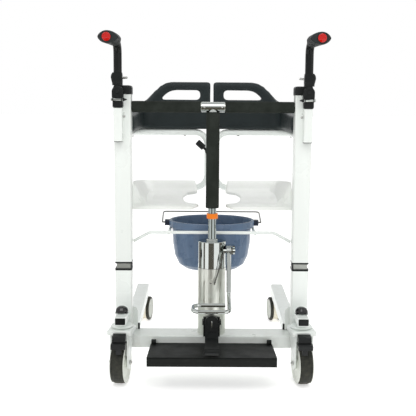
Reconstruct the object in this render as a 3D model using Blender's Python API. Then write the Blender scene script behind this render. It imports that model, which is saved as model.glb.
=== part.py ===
"""Hydraulic patient transfer chair on castors: two telescopic columns, a central hydraulic jack,
two seat halves on swing-away frames and a commode bucket.

Z is up, +Y runs from the pushing side to the opening side, X is across. Every length is in metres.
Geometry is written with Y = 0 at the front face of the columns; the empty "chair" then carries the
whole model so that the origin lies under the middle of it.
"""
import math

import bmesh
import bpy
from mathutils import Matrix, Vector

for old in list(bpy.data.objects):
    bpy.data.objects.remove(old, do_unlink=True)

# ---------------------------------------------------------------- driving dimensions
Y_ORIGIN = -0.24658            # column front face, measured from the middle of the footprint
GAP = 0.0003                  # between pieces that touch
COL_X = 0.2685                # column centre line
COL = 0.050                   # column section
COL_R = 0.004                 # its corner radius
POST = 0.0424                 # inner telescopic post
COL_FOOT = 0.087
LOWER_TOP = 0.3252
UPPER_BOTTOM = 0.3515
UPPER_TOP = 0.8548
CAP_TOP = 0.881
CROSS_Y = (-0.012, 0.066)     # base crossbar
CROSS_Z = (0.087, 0.127)
RAIL_Z = (0.095, 0.135)
RAIL_W = 0.046
RAIL_END = 0.645
RAIL_NEAR_X = 0.2535          # rail centre beside the column, then at its rear end
RAIL_FAR_X = 0.2595
STUB_Z = (0.1825, 0.2065)
STUB_W = 0.034
STUB_FRONT = -0.105
SWIVEL_Y = -0.052             # near castor
NEAR_R = 0.0625
NEAR_TRAIL = 0.022
NEAR_YAW = math.radians(6.7)
FAR_X = 0.2545
FAR_Y = 0.590
FAR_R = 0.045
FAR_TRAIL = 0.028
FAR_YAW = (math.radians(9.0), math.radians(7.0))
JACK_Y = 0.025
JACK_R = 0.0425
JACK_Z = (0.1273, 0.3333, 0.4145)
ROD_R = 0.0125
BAR_Z = 0.8187
TUBE_R = 0.011                # swing frames
HINGE_X = COL_X
HINGE_Y = 0.072
FRAME_BACK_Y = 0.430
FRAME_TOP_Z = 0.7305
FRAME_LOW_Z = 0.5345
FRAME_MID_X = 0.0139
SEAT_FRONT = 0.056
SEAT_REAR = 0.425
SEAT_OUT = 0.2485
PAD_LOW = 0.742
PAD_T = 0.042
PAD_TOP = 0.9035
BUCKET_Y = 0.1905
BUCKET_R = 0.1385
BUCKET_SQUASH = 0.86
RIM_Z = 0.4555
CARRIER_Z = 0.433
BAIL_Z = 0.446
HANDLE_X = 0.2795
HANDLE_Y = -0.0155
HANDLE_PIVOT_Z = 0.862
GRIP_Z = 1.007
GRIP_END = -0.165
HANDLE_YAW = math.radians(5.3)
LATCH_Z = 0.665


# ---------------------------------------------------------------- materials
def material(name, colour, roughness, metallic=0.0):
    """A plain Principled material."""
    mat = bpy.data.materials.new(name)
    mat.use_nodes = True
    bsdf = mat.node_tree.nodes["Principled BSDF"]
    bsdf.inputs["Base Color"].default_value = (*colour, 1.0)
    bsdf.inputs["Roughness"].default_value = roughness
    bsdf.inputs["Metallic"].default_value = metallic
    mat.diffuse_color = (*colour, 1.0)
    return mat


WHITE = material("white_powder_coat", (0.86, 0.88, 0.86), 0.35)
SEAT_WHITE = material("white_seat_plastic", (0.88, 0.89, 0.87), 0.38)
BLACK = material("black_plastic", (0.022, 0.023, 0.022), 0.45)
FOAM = material("black_foam", (0.030, 0.032, 0.030), 0.85)
PAD = material("grey_pu_skin", (0.052, 0.060, 0.066), 0.55)
CHROME = material("chrome", (0.80, 0.80, 0.78), 0.08, 1.0)
BRUSHED = material("brushed_steel", (0.66, 0.66, 0.62), 0.28, 1.0)
ALU = material("grey_slide_tube", (0.52, 0.54, 0.51), 0.4, 0.6)
ORANGE = material("orange_plastic", (0.92, 0.24, 0.01), 0.4)
BLUE = material("blue_bucket", (0.085, 0.135, 0.26), 0.35)
RUBBER = material("grey_rubber", (0.085, 0.085, 0.075), 0.7)
BEIGE = material("beige_plastic", (0.66, 0.63, 0.54), 0.5)


# ---------------------------------------------------------------- shape helpers
def rounded_rect(cx, cy, w, h, r, seg=3):
    """Corner-rounded rectangle, anticlockwise."""
    pts = []
    for k, (sx, sy) in enumerate(((1, 1), (-1, 1), (-1, -1), (1, -1))):
        ox = cx + sx * (w / 2 - r)
        oy = cy + sy * (h / 2 - r)
        for i in range(seg + 1):
            a = math.pi / 2 * (k + i / seg)
            pts.append((ox + r * math.cos(a), oy + r * math.sin(a)))
    return pts


def to_3d(p, axis, a):
    """A point of the section placed at distance a along the axis."""
    if axis == "X":
        return (a, p[0], p[1])
    if axis == "Y":
        return (p[0], a, p[1])
    return (p[0], p[1], a)


def tidy(bm):
    """Triangulate nothing, weld nothing: only make the normals point out."""
    bmesh.ops.recalc_face_normals(bm, faces=bm.faces)
    return bm


def prism(points, axis, a0, a1):
    """A closed outline extruded along an axis."""
    bm = bmesh.new()
    low = [bm.verts.new(to_3d(p, axis, a0)) for p in points]
    high = [bm.verts.new(to_3d(p, axis, a1)) for p in points]
    n = len(points)
    bm.faces.new(low)
    bm.faces.new(high)
    for i in range(n):
        bm.faces.new((low[i], low[(i + 1) % n], high[(i + 1) % n], high[i]))
    return tidy(bm)


def box(x0, x1, y0, y1, z0, z1):
    """An axis-aligned block."""
    return prism([(x0, y0), (x1, y0), (x1, y1), (x0, y1)], "Z", z0, z1)


def cylinder(axis, c, r, a0, a1, n=24):
    """A round bar along an axis through the section centre c."""
    pts = [(c[0] + r * math.cos(2 * math.pi * i / n), c[1] + r * math.sin(2 * math.pi * i / n))
           for i in range(n)]
    return prism(pts, axis, a0, a1)


def hollow(outer, inner, axis, a0, a1, floor=None):
    """A tube between two outlines of equal count; with floor, its far end is closed from there."""
    bm = bmesh.new()
    n = len(outer)
    o0 = [bm.verts.new(to_3d(p, axis, a0)) for p in outer]
    o1 = [bm.verts.new(to_3d(p, axis, a1)) for p in outer]
    i0 = [bm.verts.new(to_3d(p, axis, a0)) for p in inner]
    i1 = [bm.verts.new(to_3d(p, axis, a1 if floor is None else floor)) for p in inner]
    for k in range(n):
        m = (k + 1) % n
        bm.faces.new((o0[k], o0[m], o1[m], o1[k]))
        bm.faces.new((i0[m], i0[k], i1[k], i1[m]))
        bm.faces.new((o0[m], o0[k], i0[k], i0[m]))
        if floor is None:
            bm.faces.new((o1[k], o1[m], i1[m], i1[k]))
    if floor is not None:
        bm.faces.new(o1)
        bm.faces.new(i1)
    return tidy(bm)


def ring(axis, c, r_out, r_in, a0, a1, n=28):
    """A round sleeve."""
    def circle(r):
        return [(c[0] + r * math.cos(2 * math.pi * i / n), c[1] + r * math.sin(2 * math.pi * i / n))
                for i in range(n)]
    return hollow(circle(r_out), circle(r_in), axis, a0, a1)


def lathe(profile, centre, axis="Z", n=32, squash=1.0):
    """A profile of (radius, height) turned about an axis; it starts and ends on the axis."""
    bm = bmesh.new()
    loops = []
    for r, h in profile:
        if r < 1e-6:
            loops.append([bm.verts.new((0.0, 0.0, h))])
        else:
            loops.append([bm.verts.new((r * math.cos(2 * math.pi * i / n),
                                        squash * r * math.sin(2 * math.pi * i / n), h))
                          for i in range(n)])
    for a, b in zip(loops, loops[1:]):
        for i in range(n):
            j = (i + 1) % n
            corners = [a[i % len(a)], a[j % len(a)], b[j % len(b)], b[i % len(b)]]
            face = []
            for v in corners:
                if v not in face:
                    face.append(v)
            bm.faces.new(face)
    tidy(bm)
    if axis == "X":
        bm.transform(Matrix.Rotation(math.pi / 2, 4, "Y"))
    elif axis == "Y":
        bm.transform(Matrix.Rotation(-math.pi / 2, 4, "X"))
    bm.transform(Matrix.Translation(Vector(centre)))
    return bm


def turned_ring(profile, centre, axis="X", n=36):
    """A closed (radius, height) outline turned about an axis, such as a tyre."""
    bm = bmesh.new()
    loops = [[bm.verts.new((r * math.cos(2 * math.pi * i / n), r * math.sin(2 * math.pi * i / n), h))
              for i in range(n)] for r, h in profile]
    for a, b in zip(loops, loops[1:] + loops[:1]):
        for i in range(n):
            j = (i + 1) % n
            bm.faces.new((a[i], a[j], b[j], b[i]))
    tidy(bm)
    if axis == "X":
        bm.transform(Matrix.Rotation(math.pi / 2, 4, "Y"))
    bm.transform(Matrix.Translation(Vector(centre)))
    return bm


def fillet(points, radii, closed=False, step=math.radians(15)):
    """A polyline whose corners are rounded to the given radii."""
    pts = [Vector(p) for p in points]
    n = len(pts)
    path = []
    for i in range(n):
        if not closed and i in (0, n - 1):
            path.append(pts[i])
            continue
        p = pts[i]
        u = (pts[i - 1] - p).normalized()
        v = (pts[(i + 1) % n] - p).normalized()
        r = radii[i]
        half = u.angle(v) / 2
        if r <= 0 or half > math.pi / 2 - 0.02:
            path.append(p)
            continue
        reach = r / math.tan(half)
        centre = p + (u + v).normalized() * (r / math.sin(half))
        a = p + u * reach - centre
        b = p + v * reach - centre
        turn = a.angle(b)
        m = max(2, round(turn / step))
        for k in range(m + 1):
            t = k / m
            path.append(centre + (a * math.sin((1 - t) * turn) + b * math.sin(t * turn))
                        / math.sin(turn))
    return path


def sweep(path, r, n=12, closed=False):
    """A round rod along a path; r is a radius or one radius for each point."""
    bm = bmesh.new()
    count = len(path)
    radii = r if isinstance(r, (list, tuple)) else [r] * count
    tangents = []
    for i in range(count):
        a = path[(i - 1) % count] if closed or i else path[0]
        b = path[(i + 1) % count] if closed or i < count - 1 else path[-1]
        tangents.append((b - a).normalized())
    up = Vector((0, 0, 1)) if abs(tangents[0].z) < 0.9 else Vector((1, 0, 0))
    side = tangents[0].cross(up).normalized()
    loops = []
    for i in range(count):
        t = tangents[i]
        side = (side - t * side.dot(t)).normalized()
        other = t.cross(side)
        loops.append([bm.verts.new(path[i] + radii[i]
                                   * (side * math.cos(2 * math.pi * k / n)
                                      + other * math.sin(2 * math.pi * k / n)))
                      for k in range(n)])
    pairs = list(zip(loops, loops[1:]))
    shift = 0
    if closed:
        first = loops[0]
        last = loops[-1]
        shift = min(range(n), key=lambda s: sum((last[k].co - first[(k + s) % n].co).length
                                                for k in range(n)))
        pairs.append((loops[-1], [first[(k + shift) % n] for k in range(n)]))
    for a, b in pairs:
        for k in range(n):
            m = (k + 1) % n
            bm.faces.new((a[k], a[m], b[m], b[k]))
    if not closed:
        bm.faces.new(loops[0])
        bm.faces.new(loops[-1])
    return tidy(bm)


def loft(sections):
    """A closed skin over sections of equal point count."""
    bm = bmesh.new()
    loops = [[bm.verts.new(p) for p in s] for s in sections]
    n = len(loops[0])
    for a, b in zip(loops, loops[1:]):
        for k in range(n):
            m = (k + 1) % n
            bm.faces.new((a[k], a[m], b[m], b[k]))
    bm.faces.new(loops[0])
    bm.faces.new(loops[-1])
    return tidy(bm)


def as_object(bm, name="tool"):
    """A bare object holding a mesh."""
    mesh = bpy.data.meshes.new(name)
    bm.to_mesh(mesh)
    bm.free()
    obj = bpy.data.objects.new(name, mesh)
    bpy.context.scene.collection.objects.link(obj)
    return obj


def boolean(base, others, operation="UNION"):
    """Exact boolean of one mesh with several others, one after the other."""
    for other in others:
        a = as_object(base)
        b = as_object(other)
        mod = a.modifiers.new("boolean", "BOOLEAN")
        mod.object = b
        mod.operation = operation
        mod.solver = "EXACT"
        graph = bpy.context.evaluated_depsgraph_get()
        graph.update()
        mesh = bpy.data.meshes.new_from_object(a.evaluated_get(graph))
        base = bmesh.new()
        base.from_mesh(mesh)
        bpy.data.objects.remove(a, do_unlink=True)
        bpy.data.objects.remove(b, do_unlink=True)
        bpy.data.meshes.remove(mesh)
    return base


def cut(base, others):
    """Take shapes away."""
    return boolean(base, others, "DIFFERENCE")


def mirrored(bm):
    """The same shape on the other side of the chair."""
    copy = bm.copy()
    copy.transform(Matrix.Scale(-1, 4, (1, 0, 0)))
    bmesh.ops.reverse_faces(copy, faces=copy.faces)
    return copy


# ---------------------------------------------------------------- bodies and nodes
def empty(name, at, parent=None, yaw=0.0):
    """A pivot: at is in chair coordinates."""
    e = bpy.data.objects.new(name, None)
    e.empty_display_size = 0.05
    bpy.context.scene.collection.objects.link(e)
    e["at"] = list(at)
    if parent is None:
        e.location = at
    else:
        e.parent = parent
        turn = Matrix.Rotation(-parent["yaw"], 3, "Z")
        e.location = turn @ (Vector(at) - Vector(parent["at"]))
    e.rotation_euler = (0, 0, yaw)
    e["yaw"] = yaw + (parent["yaw"] if parent is not None else 0.0)
    return e


def node(name, bm, mat, pivot, sharp=35.0):
    """One sub-part: its mesh is kept about the pivot it moves with.

    A piece on a turned pivot is drawn straight and turns with it.
    """
    bm.transform(Matrix.Translation(-Vector(pivot["at"])))
    mesh = bpy.data.meshes.new(name)
    bm.to_mesh(mesh)
    bm.free()
    mesh.shade_smooth()
    mesh.set_sharp_from_angle(angle=math.radians(sharp))
    mesh.materials.append(mat)
    obj = bpy.data.objects.new(name, mesh)
    bpy.context.scene.collection.objects.link(obj)
    obj.parent = pivot
    return obj


SIDES = (("left", -1), ("right", 1))

chair = empty("chair", (0.0, 0.0, 0.0))
chair.location = (0.0, Y_ORIGIN, 0.0)
lift = empty("lift_axis", (0.0, JACK_Y, 0.40), chair)


def sided(bm, sign):
    """Shapes are drawn for the right side (+X) and mirrored for the left."""
    return bm if sign > 0 else mirrored(bm)


# ---------------------------------------------------------------- base
cross_mid_y = sum(CROSS_Y) / 2
cross_mid_z = sum(CROSS_Z) / 2
cross_w = CROSS_Y[1] - CROSS_Y[0]
cross_h = CROSS_Z[1] - CROSS_Z[0]
cross_end = COL_X - COL / 2 - 0.0005
crossbar = hollow(rounded_rect(cross_mid_y, cross_mid_z, cross_w, cross_h, 0.004),
                  rounded_rect(cross_mid_y, cross_mid_z, cross_w - 0.006, cross_h - 0.006, 0.002),
                  "X", -cross_end, cross_end)
crossbar = boolean(crossbar, [prism([(-0.1635, 0.0985), (0.1635, 0.0985), (0.1635, 0.119),
                                     (0.1600, 0.1235), (-0.1600, 0.1235), (-0.1635, 0.119)],
                                    "Y", CROSS_Y[0] - 0.0035, CROSS_Y[0] + 0.002)])
node("base_crossbar", crossbar, WHITE, chair)


def rail_shape():
    """Right side rail, with its rounded bracket behind the column and its castor bore."""
    mid_z = sum(RAIL_Z) / 2
    h = RAIL_Z[1] - RAIL_Z[0]
    y0 = COL + GAP
    bm = hollow(rounded_rect(0, mid_z, RAIL_W, h, 0.005), rounded_rect(0, mid_z, RAIL_W - 0.005,
                h - 0.005, 0.003), "Y", y0, RAIL_END, floor=RAIL_END - 0.003)
    for v in bm.verts:
        t = (v.co.y - y0) / (RAIL_END - y0)
        v.co.x += RAIL_NEAR_X + t * (RAIL_FAR_X - RAIL_NEAR_X)
    inner = RAIL_NEAR_X - RAIL_W / 2 - 0.0008
    corner = [(inner + 0.016 * (1 - math.cos(a)), 0.184 + 0.016 * math.sin(a))
              for a in [math.pi / 2 * k / 5 for k in range(6)]]
    plate = prism([(inner, 0.1292)] + corner + [(0.2850, 0.200), (0.2850, 0.1292)], "Y", y0, 0.0585)
    bm = boolean(bm, [plate])
    clear = box(-0.3, cross_end + 0.0006, CROSS_Y[0], CROSS_Y[1] + 0.0006, 0.05, CROSS_Z[1] + 0.0006)
    bore = cylinder("Z", (FAR_X, FAR_Y), 0.0066, RAIL_Z[0] - 0.01, RAIL_Z[0] + 0.01, 16)
    return cut(bm, [clear, bore])


def lower_column_shape():
    """Right lower column with the castor stub, its swivel post and disc."""
    bm = hollow(rounded_rect(COL_X, COL / 2, COL, COL, COL_R),
                rounded_rect(COL_X, COL / 2, POST + 0.001, POST + 0.001, 0.002),
                "Z", COL_FOOT, LOWER_TOP)
    stub = prism(rounded_rect(COL_X, sum(STUB_Z) / 2, STUB_W, STUB_Z[1] - STUB_Z[0], 0.003, 2),
                 "Y", STUB_FRONT, 0.002)
    post = cylinder("Z", (COL_X, SWIVEL_Y), 0.011, 0.170, 0.190, 20)
    disc = lathe([(0, 0.1655), (0.0315, 0.1655), (0.0335, 0.1675), (0.0335, 0.1695),
                  (0.030, 0.1725), (0, 0.1735)], (COL_X, SWIVEL_Y, 0), n=32)
    recess = box(COL_X - 0.0153, COL_X + 0.0153, STUB_FRONT - 0.01, STUB_FRONT + 0.0015,
                 STUB_Z[0] + 0.0018, STUB_Z[1] - 0.0018)
    return cut(boolean(bm, [stub, post, disc]), [recess])


def bush_shape():
    """Guide bush on top of the lower column, with its raised inner tab."""
    s = POST + 0.0008
    bm = hollow(rounded_rect(COL_X, COL / 2, COL + 0.001, COL + 0.001, COL_R),
                rounded_rect(COL_X, COL / 2, s, s, 0.002), "Z", LOWER_TOP + GAP, 0.3308)
    tab = box(COL_X - 0.0250, COL_X - 0.0217, 0.004, 0.040, 0.3295, 0.3425)
    return boolean(bm, [tab])


dome_profile = [(0, STUB_Z[1] + GAP), (0.0150, STUB_Z[1] + GAP), (0.0150, 0.2110), (0.0190, 0.2110),
                (0.0195, 0.2135), (0.0180, 0.2185), (0.0140, 0.2240), (0.0075, 0.2275), (0, 0.2285)]

for side, sign in SIDES:
    node(side + "_side_rail", sided(rail_shape(), sign), WHITE, chair)
    node(side + "_lower_column", sided(lower_column_shape(), sign), WHITE, chair)
    node(side + "_column_bush", sided(bush_shape(), sign), BLACK, chair)
    node(side + "_dome_nut", lathe(dome_profile, (sign * COL_X, SWIVEL_Y, 0), n=24), BLACK, chair)

# jack: brushed housing below, polished head above, both bored for the piston rod
housing = cylinder("Z", (0, JACK_Y), JACK_R, JACK_Z[0], JACK_Z[1], 48)
valve = cylinder("Y", (-0.003, 0.298), 0.0052, JACK_Y - JACK_R - 0.0075, JACK_Y - JACK_R + 0.006, 12)
housing = boolean(housing, [valve])
slots = [box(s * 0.0235 - 0.002, s * 0.0235 + 0.002, JACK_Y - JACK_R - 0.01, JACK_Y - 0.0310,
             0.2220, 0.2960) for s in (-1, 1)]
housing = cut(housing, slots + [cylinder("Z", (0, JACK_Y), ROD_R + 0.0006, 0.195, 0.40, 24)])
node("jack_housing", housing, BRUSHED, chair)

head = lathe([(0, JACK_Z[1] + GAP), (JACK_R, JACK_Z[1] + GAP), (JACK_R, JACK_Z[2] - 0.0015),
              (JACK_R - 0.0015, JACK_Z[2]), (0.0175, JACK_Z[2]), (0.0165, 0.4205), (0, 0.4205)],
             (0, JACK_Y, 0), n=48)
node("jack_head", cut(head, [cylinder("Z", (0, JACK_Y), ROD_R + 0.0006, 0.30, 0.45, 24)]),
     CHROME, chair)

# footplate with its two hinge bosses
plate_out = [(0.1880, -0.1600), (0.1880, -0.150), (0.1845, -0.026), (0.1790, -0.0165)]
plate_out = [(-x, y) for x, y in plate_out] + [(x, y) for x, y in reversed(plate_out)]
footplate = prism(plate_out, "Z", 0.0765, 0.1040)
bmesh.ops.bevel(footplate, geom=[e for e in footplate.edges if all(v.co.y < -0.159 for v in e.verts)],
                offset=0.003, segments=2, affect="EDGES")
bosses = [cylinder("X", (-0.0245, 0.1095), 0.0078, s * 0.1755 - 0.0070, s * 0.1755 + 0.0070, 14)
          for s in (-1, 1)]
node("footplate", boolean(footplate, bosses), BLACK, chair)

# pump: bracket with its pivot pin and the thin valve rod, then the pedal
PUMP_Y = -0.012
PUMP_Z = 0.390
bracket = box(0.0428, 0.0695, 0.006, 0.036, 0.3770, 0.4010)
ear = box(0.0575, 0.0620, PUMP_Y - 0.010, 0.010, 0.3800, 0.4000)
pin = cylinder("X", (PUMP_Y, PUMP_Z), 0.0040, 0.0340, 0.0695, 14)
pin_low = cylinder("X", (PUMP_Y + 0.004, PUMP_Z - 0.008), 0.0030, 0.0600, 0.0690, 10)
thin = sweep([Vector((0.0372, PUMP_Y, PUMP_Z)), Vector((0.0330, -0.0200, 0.3760)),
              Vector((0.0085, -0.0235, 0.2920)), Vector((0.0080, -0.0235, 0.2870))], 0.0021, 8)
node("pump_bracket", boolean(bracket, [ear, pin, pin_low, thin]), CHROME, chair)

pump = empty("pump_axis", (0.050, PUMP_Y, PUMP_Z), chair)
lever = fillet([(0.0503, PUMP_Y, PUMP_Z - 0.004), (0.0503, -0.047, 0.262), (0.0503, -0.141, 0.235),
                (-0.056, -0.141, 0.235), (-0.056, -0.065, 0.235), (0.0400, -0.065, 0.235)],
               [0, 0.020, 0.014, 0.024, 0.024, 0], step=math.radians(18))
loop = sweep(lever, 0.0059, 12)
sleeve = sweep([Vector((0.0503, PUMP_Y - 0.0015, PUMP_Z - 0.006)),
                Vector((0.0503, -0.0445, 0.2700))], 0.0068, 16)
eye = cylinder("X", (PUMP_Y, PUMP_Z), 0.0105, 0.0438, 0.0569, 20)
hole = cylinder("X", (PUMP_Y, PUMP_Z), 0.0045, 0.03, 0.08, 16)
node("pump_pedal", cut(boolean(loop, [sleeve, eye]), [hole]), CHROME, pump)

# release pedal on its block
REL_Y = -0.036
REL_Z = 0.175
block = box(-0.0250, 0.0250, -0.0265, JACK_Y - JACK_R - GAP, 0.1275, 0.1880)
ears = [box(s * 0.0255 - 0.0030, s * 0.0255 + 0.0030, -0.0430, -0.0240, 0.1680, 0.1820)
        for s in (-1, 1)]
pin_bore = cylinder("X", (REL_Y, REL_Z), 0.0029, -0.04, 0.04, 12)
node("release_block", cut(boolean(block, ears), [pin_bore]), BLACK, chair)

release = empty("release_axis", (0.0, REL_Y, REL_Z), chair)
oval = prism([(0.0215 * math.cos(a), 0.1715 + 0.0258 * math.sin(a))
              for a in [2 * math.pi * k / 28 for k in range(28)]], "Y", -0.0465, -0.0303)
tongue = prism([(-0.0305, 0.1560), (-0.0305, 0.1420), (-0.0420, 0.1355), (-0.0700, 0.1290),
                (-0.1450, 0.1195), (-0.1700, 0.1150), (-0.1720, 0.1215), (-0.1450, 0.1270),
                (-0.0700, 0.1365), (-0.0470, 0.1470), (-0.0465, 0.1560)], "X", -0.0200, 0.0200)
ridges = [prism([(y, 0.1195 + (y + 0.147) * 0.20), (y - 0.004, 0.1187 + (y + 0.147) * 0.20),
                 (y - 0.004, 0.1272 + (y + 0.147) * 0.20), (y, 0.1290 + (y + 0.147) * 0.20)],
                "X", -0.0225, 0.0225) for y in (-0.1470, -0.1550, -0.1630)]
rel_pin = cylinder("X", (REL_Y, REL_Z), 0.0025, -0.0282, 0.0282, 12)
node("release_pedal", boolean(oval, [tongue, rel_pin] + ridges), BLACK, release)


# ---------------------------------------------------------------- lifting carriage
def upper_column_shape():
    """Right upper column with the handle socket and the two frame bearings."""
    bm = hollow(rounded_rect(COL_X, COL / 2, COL, COL, COL_R),
                rounded_rect(COL_X, COL / 2, POST + 0.001, POST + 0.001, 0.002),
                "Z", UPPER_BOTTOM, UPPER_TOP)
    socket = prism(rounded_rect(HANDLE_X, -0.0126, 0.0250, 0.0254, 0.003, 2), "Z", 0.7170, 0.8148)
    bearings = [box(HINGE_X - 0.0165, HINGE_X + 0.0165, COL - 0.002, HINGE_Y + 0.0165, z - 0.012,
                    z + 0.012) for z in (0.595, 0.665)]
    bores = [cylinder("Z", (HINGE_X, HINGE_Y), TUBE_R + 0.0005, z - 0.02, z + 0.02, 24)
             for z in (0.595, 0.665)]
    return cut(boolean(bm, [socket] + bearings), bores)


def cap_shape():
    """Column cap with softened upper edges."""
    w = COL + 0.004
    levels = [(UPPER_TOP + GAP, w, 0.006), (0.8750, w, 0.006), (0.8790, w - 0.003, 0.006),
              (CAP_TOP, w - 0.010, 0.006)]
    return loft([[(x, y, z) for x, y in rounded_rect(COL_X, COL / 2, s, s, r, 3)]
                 for z, s, r in levels])


for side, sign in SIDES:
    node(side + "_upper_column", sided(upper_column_shape(), sign), WHITE, lift)
    post = hollow(rounded_rect(COL_X, COL / 2, POST, POST, 0.0015, 2),
                  rounded_rect(COL_X, COL / 2, POST - 0.006, POST - 0.006, 0.001, 2),
                  "Z", 0.100, 0.500)
    node(side + "_inner_post", sided(post, sign), ALU, lift)
    node(side + "_column_cap", sided(cap_shape(), sign), BLACK, lift)
    x0, x1 = sorted((sign * 0.0362, sign * (cross_end - 0.0002)))
    node(side + "_bar_foam", ring("X", (JACK_Y, BAR_Z), 0.0170, ROD_R + GAP, x0, x1, 24), FOAM, lift)

node("top_bar", cylinder("X", (JACK_Y, BAR_Z), ROD_R, -cross_end, cross_end, 24), BRUSHED, lift)
tee = cylinder("X", (JACK_Y, BAR_Z), 0.0152, -0.0345, 0.0345, 24)
neck = cylinder("Z", (0, JACK_Y), 0.0138, 0.8043, BAR_Z, 24)
tee = cut(boolean(tee, [neck]), [cylinder("X", (JACK_Y, BAR_Z), ROD_R + GAP, -0.05, 0.05, 24)])
node("tee_clamp", tee, CHROME, lift)
node("piston_rod", cylinder("Z", (0, JACK_Y), ROD_R, 0.205, 0.8032, 24), CHROME, lift)
node("piston_foam", ring("Z", (0, JACK_Y), 0.0200, ROD_R + GAP, 0.5152, 0.8032, 28), FOAM, lift)
node("stop_ring", ring("Z", (0, JACK_Y), 0.0172, ROD_R + GAP, 0.4830, 0.4984, 28), ORANGE, lift)

carrier_path = fillet([(-cross_end, 0.056, 0.4060), (-0.192, 0.062, CARRIER_Z),
                       (0.192, 0.062, CARRIER_Z), (cross_end, 0.056, 0.4060)],
                      [0, 0.030, 0.030, 0], step=math.radians(10))
prongs = [sweep(fillet([(s * 0.1338, 0.062, CARRIER_Z - 0.0035), (s * 0.1338, 0.075, 0.4292),
                        (s * 0.1338, 0.345, 0.4292)], [0, 0.02, 0]), 0.0045, 12) for s in (-1, 1)]
node("bucket_carrier", boolean(sweep(carrier_path, 0.0050, 12), prongs), WHITE, lift)


# ---------------------------------------------------------------- swing-away halves
def smooth(t):
    """Smooth step from 0 to 1."""
    t = max(0.0, min(1.0, t))
    return t * t * (3 - 2 * t)


def along(table, v):
    """Smoothly joined values of a short table of (position, value)."""
    if v <= table[0][0]:
        return table[0][1]
    for (a, p), (b, q) in zip(table, table[1:]):
        if v <= b:
            return p + (q - p) * smooth((v - a) / (b - a))
    return table[-1][1]


SEAT_RISE = ((0.050, 0.5185), (0.075, 0.5205), (0.130, 0.5180), (0.230, 0.5245), (0.320, 0.5330),
             (0.425, 0.5605))
SEAT_INNER = ((0.056, 0.0410), (0.088, 0.0430), (0.125, 0.0690), (0.170, 0.0880), (0.215, 0.0950),
              (0.262, 0.0930), (0.296, 0.0800), (0.318, 0.0520), (0.330, 0.0480), (0.425, 0.0560))


def seat_shape():
    """Right seat half: a dished shell with half of the open-front keyhole."""
    ys = [0.0560, 0.0590, 0.0640, 0.0730, 0.0880, 0.1050, 0.1250, 0.1480, 0.1700, 0.1925, 0.2150,
          0.2390, 0.2620, 0.2800, 0.2960, 0.3080, 0.3180, 0.3300, 0.3550, 0.3800, 0.3950, 0.4080,
          0.4180, 0.4250]
    cols = [0.0, 0.03, 0.10, 0.22, 0.36, 0.50, 0.64, 0.76, 0.86, 0.93, 0.97, 1.0]
    thick = 0.0100
    top = []
    low = []
    bm = bmesh.new()
    for y in ys:
        tip = 0.0180 * (1 - smooth((y - SEAT_FRONT) / 0.018)) ** 2
        x_in = along(SEAT_INNER, y) + tip
        corner = max(0.0, (y - (SEAT_REAR - 0.040)) / 0.040)
        x_out = SEAT_OUT - 0.040 * (1 - math.sqrt(max(0.0, 1 - corner * corner))) * 0.85
        lip = 0.0040 * (1 - smooth((y - SEAT_FRONT) / 0.012))
        row_t = []
        row_l = []
        for c in cols:
            x = x_in + (x_out - x_in) * c
            z = along(SEAT_RISE, y) - lip
            wing = smooth((x - 0.203) / (SEAT_OUT - 0.203)) * smooth((y - 0.066) / 0.050)
            z += (0.5890 - 0.085 * max(0.0, y - 0.12) - z) * wing
            edge = 0.0022 if c in (0.0, 1.0) else 0.0
            row_t.append(bm.verts.new((x, y, z - edge)))
            row_l.append(bm.verts.new((x, y, z - thick + edge)))
        top.append(row_t)
        low.append(row_l)
    m = len(cols)
    for a in range(len(ys) - 1):
        for b in range(m - 1):
            bm.faces.new((top[a][b], top[a][b + 1], top[a + 1][b + 1], top[a + 1][b]))
            bm.faces.new((low[a][b], low[a + 1][b], low[a + 1][b + 1], low[a][b + 1]))
        bm.faces.new((top[a][0], top[a + 1][0], low[a + 1][0], low[a][0]))
        bm.faces.new((top[a][m - 1], low[a][m - 1], low[a + 1][m - 1], top[a + 1][m - 1]))
    for b in range(m - 1):
        bm.faces.new((top[0][b], low[0][b], low[0][b + 1], top[0][b + 1]))
        bm.faces.new((top[-1][b], top[-1][b + 1], low[-1][b + 1], low[-1][b]))
    return tidy(bm)


PAD_PROFILE = ((0.0, PAD_TOP), (0.134, PAD_TOP), (0.154, 0.8995), (0.172, 0.8895), (0.190, 0.8740),
               (0.205, 0.8575), (0.220, 0.8420), (0.245, 0.8250), (0.280, 0.8130), (0.340, 0.8050),
               (0.560, 0.7935))


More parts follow.
